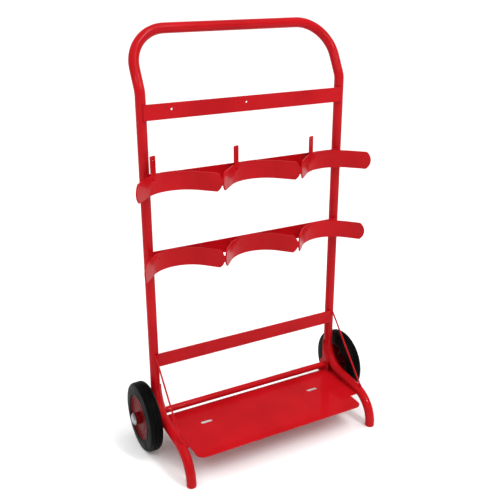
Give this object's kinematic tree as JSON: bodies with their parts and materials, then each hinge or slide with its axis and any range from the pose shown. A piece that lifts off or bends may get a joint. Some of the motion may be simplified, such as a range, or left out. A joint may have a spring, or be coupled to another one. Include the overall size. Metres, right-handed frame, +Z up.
{
  "type": "cylinder trolley",
  "caption": "Upright steel-tube trolley on rubber wheels, with saddles that hold upright cylinders side by side on a sheet platform.",
  "frame": {"origin": "on the ground under the middle of the trolley's bounding box", "axes": "+Z up, -Y the front where the cylinders stand, +X to the right as seen from the front"},
  "size_m": [0.746, 0.34, 1.1661],
  "materials": {
    "red_paint": "semi-gloss red enamel",
    "plug_plastic": "moulded red plastic",
    "rim_plastic": "moulded dark red plastic",
    "tyre_rubber": "solid black rubber",
    "zinc_plate": "zinc-plated steel",
    "axle_steel": "bright drawn steel",
    "bush_plastic": "moulded black plastic"
  },
  "bodies": {
    "frame": {"frame_tube": "red_paint", "top_bar": "red_paint", "lower_bar": "red_paint", "platform": "red_paint", "axle_tube": "red_paint", "axle_rod": "axle_steel", "upper_cradle_bar": "red_paint", "upper_saddle_left": "red_paint", "upper_saddle_middle": "red_paint", "upper_saddle_right": "red_paint", "lower_cradle_bar": "red_paint", "lower_saddle_left": "red_paint", "lower_saddle_middle": "red_paint", "lower_saddle_right": "red_paint", "left_foot_plug": "plug_plastic", "left_axle_bracket": "red_paint", "left_stay_rod": "red_paint", "left_inner_washer": "zinc_plate", "left_outer_washer": "zinc_plate", "left_axle_cap": "zinc_plate", "right_foot_plug": "plug_plastic", "right_axle_bracket": "red_paint", "right_stay_rod": "red_paint", "right_inner_washer": "zinc_plate", "right_outer_washer": "zinc_plate", "right_axle_cap": "zinc_plate"},
    "left_wheel": {"left_tyre": "tyre_rubber", "left_rim": "rim_plastic", "left_inner_bush": "bush_plastic", "left_outer_bush": "bush_plastic"},
    "right_wheel": {"right_tyre": "tyre_rubber", "right_rim": "rim_plastic", "right_inner_bush": "bush_plastic", "right_outer_bush": "bush_plastic"}
  },
  "joints": [
    {"name": "left_wheel_spin", "type": "hinge", "parent": "frame", "child": "left_wheel", "pos_m": [-0.335, 0.07002, 0.1], "axis": [1, 0, 0], "continuous": true},
    {"name": "right_wheel_spin", "type": "hinge", "parent": "frame", "child": "right_wheel", "pos_m": [0.335, 0.07002, 0.1], "axis": [1, 0, 0], "continuous": true}
  ]
}
